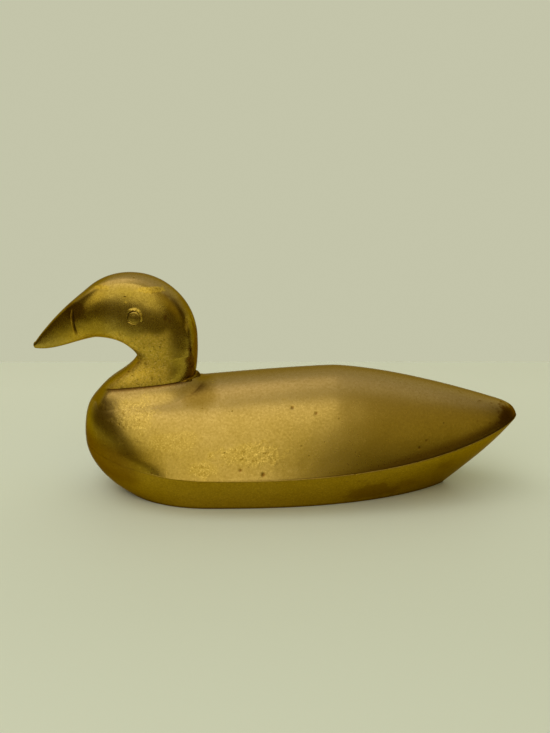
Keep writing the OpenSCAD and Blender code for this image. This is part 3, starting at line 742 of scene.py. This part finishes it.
# The painted shade behind the neck runs on over the collar.
dirty_collar = spots(collar_rings, DIRTY_BACK, 22, **SMUDGE)
collar = looped_piece("neck_collar", collar_rings,
                      grime=np.maximum(crease[:, None] * at_side, SMUDGE_GRIME * dirty_collar),
                      worn=spots(collar_rings, ROUGH_BACK, 11), aged=np.maximum(at_front, dirty_collar))

# %% [markdown]
# The two brazed joints were run in with a torch. At the neck the braze is a thin uneven bead,
# with lumps at the back where it wasn't dressed. Along the side edge it is a fine raised line
# that fades out round the breast, where the edge was filed smooth. Lumps could be set one by one.
# Waves and noise on a closed ring look as chancy and close up all round.

# %% Neck braze
BEAD_ARC = np.radians(np.linspace(-80, 80, 13))
BEAD_UP, BEAD_LOW, BEAD_LUMPS, BEAD_INNER = 2.2, 0.35, 1.7, 13.5


def bead_proud(angles):
    """A low bead all round, dressed away at the front, with lumps where the torch ended behind."""
    behind = np.maximum(0, np.cos(angles)) ** 3
    lumps = behind * (1 + 0.45 * np.sin(9 * angles + 1) + 0.3 * np.sin(17 * angles))
    return ease((1 + np.cos(angles)) / 0.6) * BEAD_LOW + BEAD_LUMPS * lumps


bead = bead_proud(collar_angles)
base_loops = [neck_foot(drop, collar_angles) for drop in (0, JOINT_T)]
bead_rings = [foot_ring(drop, BEAD_INNER, BEAD_INNER, ROUND_SECTION, collar_angles)
              for drop in (0, JOINT_T)]
for arc in BEAD_ARC[::-1]:
    across = mix(base_loops[0], base_loops[1], 0.5 - 0.5 * np.sin(arc) / np.sin(BEAD_ARC[-1]))
    climb = BEAD_UP * np.maximum(0, bead - 0.5) * np.maximum(0, np.sin(arc)) * 0.5
    bead_rings.append(across + rim_out * (bead * np.cos(arc))[:, None] + climb[:, None] * np.array([0, 0, 1]))
bead_rings = np.array(bead_rings)
bead_rings[2:] += 0.5 * (waver(bead_rings[2:], 1.6, 20) * np.minimum(1, bead / 0.8))[..., None] * rim_out
all_round = np.ones(bead_rings.shape[:2])
neck_braze = looped_piece("neck_braze_bead", bead_rings, aged=all_round, stain=0.5 * all_round,
                          grime=0.25 * all_round)

# %% Seam braze
SEAM_COUNT, SEAM_STEPS = 1440, 9
CREST, NICK_DEEP = 0.35, 0.7
NICKS = [(108, -1, 1.6), (46, -1, 1.2), (84, -1, 0.8), (10, 1, 1.3), (95, 1, 1.5)]
seam_turns = even_turns(SEAM_COUNT, lambda turn: edge_plan(turn, 0))
seam_mid = edge_line(seam_turns, 0, 0)
seam_x = seam_mid[:, 0]
ragged = 0.75 + 0.35 * waver(seam_mid, 3, 7) + 0.3 * waver(seam_mid, 1.2, 8)
crest = CREST * np.clip(ragged, 0, 1) * (1 - bow_share(seam_x))
for x, side, wide in NICKS:
    nick = np.maximum(0, 1 - ((seam_x - x) / wide) ** 2)
    crest = crest - NICK_DEEP * (seam_mid[:, 1] * side > 0) * nick
seam_rings = [edge_line(seam_turns, WALL, -BRAZE_T / 2)]
seam_in = filed(seam_x, 0)
flush_xy, proud_xy = edge_line(seam_turns, 0, 0), edge_line(seam_turns, -1, 0)
out_step = proud_xy - flush_xy
for share in np.linspace(-1, 1, SEAM_STEPS):
    step_up = np.array([0, 0, share * BRAZE_T / 2])
    seam_rings.append(flush_xy + step_up + out_step * (crest * (1 - share**2) - seam_in)[:, None])
seam_rings.append(edge_line(seam_turns, WALL, BRAZE_T / 2))
seam_rings = np.array(seam_rings)
seam_aged = mix(0.6, 1.0, bow_share(seam_rings[..., 0]))
# Round the breast the seam carries the same tarnish and painted dark band.
seam = looped_piece("side_seam", seam_rings, aged=seam_aged,
                    stain=0.85 * ease((BREAST_BROWN_X - seam_rings[..., 0]) / 20))

# %% [markdown]
# Old brass is metal with a thin tarnish on it. The clean metal is a warm yellow. The tarnish
# takes it toward olive and brown, most in hollows and along joints. Fine scratches and small
# pits from the casting break the shine. The effects are node groups that every brass shares.
# They could be painted images, but noise needs no unwrapping and stays sharp in a close view.

# %% Node group helpers
def group(name, inputs, outputs):
    made = bpy.data.node_groups.new(name, "ShaderNodeTree")
    for label, kind, value in inputs:
        socket = made.interface.new_socket(label, in_out="INPUT", socket_type=kind)
        socket.default_value = value
    for label, kind in outputs:
        made.interface.new_socket(label, in_out="OUTPUT", socket_type=kind)
    print("node group", name)
    return made, made.nodes.new("NodeGroupInput"), made.nodes.new("NodeGroupOutput")


def node(tree, kind, links=(), **values):
    """Adds a node. Each link is (input, output socket) and each value sets a property."""
    made = tree.nodes.new(kind)
    for key, value in values.items():
        setattr(made, key, value)
    for socket, source in links:
        if isinstance(source, bpy.types.NodeSocket):
            tree.links.new(source, made.inputs[socket])
        else:
            made.inputs[socket].default_value = source
    return made


def maths(tree, operation, a, b=0.0):
    return node(tree, "ShaderNodeMath", [(0, a), (1, b)], operation=operation).outputs[0]


def times(tree, a, b):
    return maths(tree, "MULTIPLY", a, b)


def span(tree, value, low, high, to_low=0.0, to_high=1.0):
    made = node(tree, "ShaderNodeMapRange", [("Value", value), ("From Min", low), ("From Max", high),
                                             ("To Min", to_low), ("To Max", to_high)])
    return made.outputs["Result"]


def place_mm(tree):
    """Where a point is on the piece, in millimetres."""
    here = node(tree, "ShaderNodeTexCoord").outputs["Object"]
    return node(tree, "ShaderNodeVectorMath", [(0, here), (3, 1000.0)], operation="SCALE").outputs[0]


def cloud(tree, where, size, detail=4.0, rough=0.5):
    return node(tree, "ShaderNodeTexNoise", [("Vector", where), ("Scale", size), ("Detail", detail),
                                             ("Roughness", rough)]).outputs["Fac"]


NUMBER = "NodeSocketFloat"

# %% Tarnish patches
tarnish, given, out = group("tarnish patches",
                            [("Size", NUMBER, 0.03), ("Cover", NUMBER, 0.5), ("Softness", NUMBER, 0.15)],
                            [("Mask", NUMBER), ("Mottle", NUMBER)])
where = place_mm(tarnish)
broad = cloud(tarnish, where, given.outputs["Size"], 6.0, 0.6)
fine = cloud(tarnish, where, times(tarnish, given.outputs["Size"], 24.0), 5.0, 0.65)
edge = maths(tarnish, "SUBTRACT", 1.0, given.outputs["Cover"])
low = maths(tarnish, "SUBTRACT", edge, given.outputs["Softness"])
high = maths(tarnish, "ADD", edge, given.outputs["Softness"])
tarnish.links.new(span(tarnish, broad, low, high), out.inputs["Mask"])
tarnish.links.new(fine, out.inputs["Mottle"])

# %% Cast grain
grain, given, out = group("cast grain", [("Size", NUMBER, 0.9), ("Amount", NUMBER, 1.0)],
                          [("Height", NUMBER), ("Bright", NUMBER), ("Dark", NUMBER)])
where = place_mm(grain)
lumps = cloud(grain, where, given.outputs["Size"], 5.0, 0.7)
specks = cloud(grain, where, times(grain, given.outputs["Size"], 2.2), 3.0, 0.6)
for label, raw in (("Height", lumps), ("Bright", span(grain, specks, 0.52, 0.66)),
                   ("Dark", span(grain, lumps, 0.46, 0.34))):
    grain.links.new(times(grain, raw, given.outputs["Amount"]), out.inputs[label])

# %% Fine scratches
scratches, given, out = group("fine scratches", [("Amount", NUMBER, 0.5)],
                              [("Height", NUMBER), ("Mask", NUMBER)])
where = place_mm(scratches)
lines = None
for turn, scale in (((0.0, 0.2, 0.3), (0.05, 2.2, 2.2)), ((0.4, 0.9, -0.5), (0.04, 1.6, 1.6)),
                    ((-0.3, -0.4, 1.1), (0.06, 2.6, 2.6))):
    turned = node(scratches, "ShaderNodeVectorRotate", [("Vector", where), ("Rotation", turn)],
                  rotation_type="EULER_XYZ")
    drawn = node(scratches, "ShaderNodeVectorMath", [(0, turned.outputs[0]), (1, scale)],
                 operation="MULTIPLY")
    one = span(scratches, cloud(scratches, drawn.outputs[0], 1.0, 2.0, 0.6), 0.62, 0.72)
    lines = one if lines is None else maths(scratches, "MAXIMUM", lines, one)
worked = span(scratches, cloud(scratches, where, 0.06, 3.0), 0.4, 0.65)
shown = times(scratches, times(scratches, lines, worked), given.outputs["Amount"])
scratches.links.new(shown, out.inputs["Mask"])
scratches.links.new(times(scratches, shown, -1.0), out.inputs["Height"])

# %% Casting pits
pits, given, out = group("casting pits",
                         [("Spacing", NUMBER, 0.2), ("Share", NUMBER, 0.2), ("Size", NUMBER, 0.12)],
                         [("Height", NUMBER), ("Mask", NUMBER)])
where = place_mm(pits)
cells = node(pits, "ShaderNodeTexVoronoi", [("Vector", where), ("Scale", given.outputs["Spacing"])])
chosen = node(pits, "ShaderNodeSeparateColor", [(0, cells.outputs["Color"])]).outputs[0]
kept = maths(pits, "LESS_THAN", chosen, given.outputs["Share"])
hole = span(pits, cells.outputs["Distance"], given.outputs["Size"], 0.0)
sunk = times(pits, maths(pits, "POWER", hole, 0.6), kept)
pits.links.new(sunk, out.inputs["Mask"])
pits.links.new(times(pits, sunk, -1.0), out.inputs["Height"])


# %% [markdown]
# Each material mixes clean metal, olive tarnish and brown grime, with painted shade and a painted sheen. The
# marks laid on the points of each mesh say where the skin is worn, stained, grimy or aged, and where shade or
# a sheen is painted on, and the groups add what is too fine for a mesh. Surfaces that face up get a painted
# reflection of the sky. The roughness follows tarnish and wear, and one bump carries the fine relief.
# The four could be built apart. One function keeps them the same metal with a few numbers changed.

# %% Brass materials
def put(tree, made, **values):
    placed = node(tree, "ShaderNodeGroup", node_tree=made)
    for label, value in values.items():
        placed.inputs[label].default_value = value
    return placed


def blend_colour(tree, share, a, b):
    made = node(tree, "ShaderNodeMix", [("Factor", share)], data_type="RGBA")
    for socket, value in ((made.inputs[6], a), (made.inputs[7], b)):
        if isinstance(value, bpy.types.NodeSocket):
            tree.links.new(value, socket)
        else:
            socket.default_value = (*value, 1)
    return made.outputs[2]


def mark(tree, label):
    """A mark that was laid on the points of the mesh."""
    return node(tree, "ShaderNodeAttribute", attribute_name=label).outputs["Fac"]


# The stain, grime and aged tones also paint shade, the worn gold also paints a sheen, and the sky tone paints
# the sky mirrored on surfaces that face up.
CLEAN, OLIVE, BROWN = (0.48, 0.335, 0.055), (0.405, 0.275, 0.022), (0.25, 0.15, 0.008)
STAIN, GRIME = (0.19, 0.085, 0.006), (0.085, 0.042, 0.004)
FILM, AGED = (0.46, 0.31, 0.13), (0.83, 0.77, 0.30)
WORN, BRIGHT = (0.82, 0.56, 0.06), (0.9, 0.66, 0.16)
EDGE_TINT = (0.55, 0.45, 0.25, 1)


def brass(name, cover, shine, worn_shine, worn_gold, pit_share, scratch_amount):
    material = bpy.data.materials.new(name)
    material.use_nodes = True
    tree = material.node_tree
    shader = tree.nodes["Principled BSDF"]
    worn, grime, stain, aged = (mark(tree, label) for label in ("worn", "grime", "stain", "aged"))
    looks = node(tree, "ShaderNodeSeparateXYZ", [(0, node(tree, "ShaderNodeTexCoord").outputs["Normal"])])
    patches = put(tree, tarnish, Size=0.03, Cover=cover, Softness=0.16)
    scratch = put(tree, scratches, Amount=scratch_amount)
    pit = put(tree, pits, Spacing=0.22, Share=pit_share, Size=0.14)
    rough_cast = put(tree, grain, Size=0.5)
    tree.links.new(span(tree, worn, 0.0, 1.0, 0.08, 1.0), rough_cast.inputs["Amount"])
    tone = blend_colour(tree, patches.outputs["Mask"], CLEAN, OLIVE)
    # Surfaces that face up take a greyer tone: a painted reflection of the sky.
    for share, colour in ((span(tree, looks.outputs["Z"], 0.25, 1.0), FILM),
                          (times(tree, worn, worn_gold), WORN),
                          (span(tree, patches.outputs["Mottle"], 0.4, 0.75, 0.0, 0.5), BROWN),
                          (times(tree, rough_cast.outputs["Bright"], 0.65), BRIGHT),
                          (times(tree, rough_cast.outputs["Dark"], 0.8), BROWN),
                          (times(tree, stain, 0.75), STAIN)):
        tone = blend_colour(tree, share, tone, colour)
    tinted = node(tree, "ShaderNodeMix", [("Factor", aged)], data_type="RGBA", blend_type="MULTIPLY")
    tree.links.new(tone, tinted.inputs[6])
    tinted.inputs[7].default_value = (*AGED, 1)
    tone = blend_colour(tree, pit.outputs["Mask"], tinted.outputs[2], BROWN)
    tone = blend_colour(tree, times(tree, grime, 0.85), tone, GRIME)
    tree.links.new(tone, shader.inputs["Base Color"])
    shader.inputs["Metallic"].default_value = 1.0
    shader.inputs["Specular Tint"].default_value = EDGE_TINT
    rough = span(tree, patches.outputs["Mottle"], 0.3, 0.7, shine, shine + 0.1)
    rough = node(tree, "ShaderNodeMix", [(0, worn), (2, rough), (3, worn_shine)]).outputs[0]
    rough = maths(tree, "ADD", rough, times(tree, grime, 0.12))
    tree.links.new(rough, shader.inputs["Roughness"])
    lines_deep = times(tree, scratch.outputs["Height"], 0.15)
    height = maths(tree, "ADD", lines_deep, pit.outputs["Height"])
    height = maths(tree, "ADD", height, times(tree, rough_cast.outputs["Height"], 0.6))
    bump = node(tree, "ShaderNodeBump", [("Height", height), ("Strength", 0.5), ("Distance", 0.0003)])
    tree.links.new(bump.outputs["Normal"], shader.inputs["Normal"])
    print("material", name)
    return material


body_brass = brass("aged brass, body", cover=0.5, shine=0.25, worn_shine=0.34, worn_gold=0.15,
                   pit_share=0.09, scratch_amount=0.6)
base_brass = brass("aged brass, bottom", cover=0.55, shine=0.3, worn_shine=0.4, worn_gold=0.6,
                   pit_share=0.06, scratch_amount=0.5)
head_brass = brass("aged brass, head", cover=0.5, shine=0.23, worn_shine=0.48, worn_gold=0.75,
                   pit_share=0.05, scratch_amount=0.6)
braze_brass = brass("brazed joint", cover=0.6, shine=0.34, worn_shine=0.4, worn_gold=0.0,
                    pit_share=0.1, scratch_amount=0.3)

# %% Materials and bodies
for piece, node_name, slot_name, material in (
        (back, "back_casting", "body_brass", body_brass),
        (collar, None, "body_brass", body_brass),
        (bottom, "bottom_casting", "base_brass", base_brass),
        (head, "head_casting", "head_brass", head_brass),
        (neck_braze, "neck_braze", "braze", braze_brass),
        (seam, "seam_braze", "braze", braze_brass)):
    piece.data.materials.append(material)
    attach(piece, "root")
    if node_name:
        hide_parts(node_name)
    print(piece.name, "stands for", node_name)

# %% [markdown]
# The duck stands on a pale table whose colour is painted a little darker toward the front, a painted light
# falloff. Behind the table is a pale room, and in front of the duck the room is dim, which draws the dark
# bands on the breast together with a painted dark band on the metal there. One large soft lamp stands front
# left and above, where the flank mirrors it. The room also glows from above, high on the left, and weakly on
# the right. A photographed room could light it too, but the metal would mirror the things in it. A few broad
# glows can each be set for one light or dark area of the duck.

# %% Table
TABLE_FRONT, TABLE_BACK, TABLE_SIDE = -0.27, 0.31, 0.45
table_mesh = bpy.data.meshes.new("table")
table_mesh.from_pydata([(-TABLE_SIDE, TABLE_FRONT, 0), (TABLE_SIDE, TABLE_FRONT, 0),
                        (TABLE_SIDE, TABLE_BACK, 0), (-TABLE_SIDE, TABLE_BACK, 0)], [], [(0, 1, 2, 3)])
table = bpy.data.objects.new("table", table_mesh)
bpy.context.scene.collection.objects.link(table)
table_finish = bpy.data.materials.new("pale table")
table_finish.use_nodes = True
paint = table_finish.node_tree.nodes["Principled BSDF"]
tree = table_finish.node_tree
table_place = node(tree, "ShaderNodeTexCoord").outputs["Object"]
depth = node(tree, "ShaderNodeSeparateXYZ", [(0, table_place)]).outputs["Y"]
# The table's colour darkens toward the front: a painted light falloff.
fade = blend_colour(tree, span(tree, depth, -0.15, 0.2), (0.80, 0.86, 0.77), (0.92, 0.98, 0.90))
tree.links.new(fade, paint.inputs["Base Color"])
paint.inputs["Roughness"].default_value = 0.6
table_mesh.materials.append(table_finish)
print("table", 2 * TABLE_SIDE, "by", round(TABLE_BACK - TABLE_FRONT, 2), "m")

# %% Room light
room = bpy.data.worlds.new("room")
bpy.context.scene.world = room
room.use_nodes = True
tree = room.node_tree
sky = tree.nodes["Background"]
facing = node(tree, "ShaderNodeTexCoord").outputs["Generated"]
parts = node(tree, "ShaderNodeSeparateXYZ", [(0, facing)])


def toward(turn, height):
    """Direction this many degrees from the front, toward the tail, and this high."""
    a, e = np.radians(turn), np.radians(height)
    return Vector((np.sin(a) * np.cos(e), -np.cos(a) * np.cos(e), np.sin(e)))


def glow(share, colour, under):
    share.node.interpolation_type = "SMOOTHSTEP"
    return blend_colour(tree, share, under, colour)


room_colour = glow(span(tree, parts.outputs["Z"], 0.5, 1.0), (0.66, 0.64, 0.52), (0.08, 0.055, 0.006))
for turn, height, colour in ((-108, 63, (1.25, 1.2, 1.0)), (40, 40, (0.40, 0.34, 0.08))):
    near = node(tree, "ShaderNodeVectorMath", [(0, facing), (1, toward(turn, height))],
                operation="DOT_PRODUCT")
    room_colour = glow(span(tree, near.outputs["Value"], 0.8, 0.97), colour, room_colour)
room_colour = glow(span(tree, parts.outputs["Y"], 0.15, 0.6), (0.55, 0.555, 0.40), room_colour)
tree.links.new(room_colour, sky.inputs["Color"])
sky.inputs["Strength"].default_value = 1.0
print("room light,", len(tree.nodes), "nodes")


# %% Lamp
LAMP_AIM = Vector((0, 0, 0.05))


def lamp(name, turn, height, far, width, tall, power, colour):
    """Flat soft lamp that faces the duck, turned this far from the front and this high, in degrees."""
    data = bpy.data.lights.new(name, "AREA")
    data.shape = "RECTANGLE"
    data.size, data.size_y = width, tall
    data.energy = power
    data.color = colour
    made = bpy.data.objects.new(name, data)
    made.location = LAMP_AIM + far * toward(turn, height)
    made.rotation_euler = (LAMP_AIM - made.location).to_track_quat("-Z", "Y").to_euler()
    bpy.context.scene.collection.objects.link(made)
    print("lamp", name, [round(v, 2) for v in made.location], power, "W")


lamp("soft lamp", turn=-19, height=36, far=1.15, width=0.98, tall=1.1, power=3.9,
     colour=(1.0, 0.98, 0.92))
bpy.context.scene.view_settings.view_transform = "Standard"
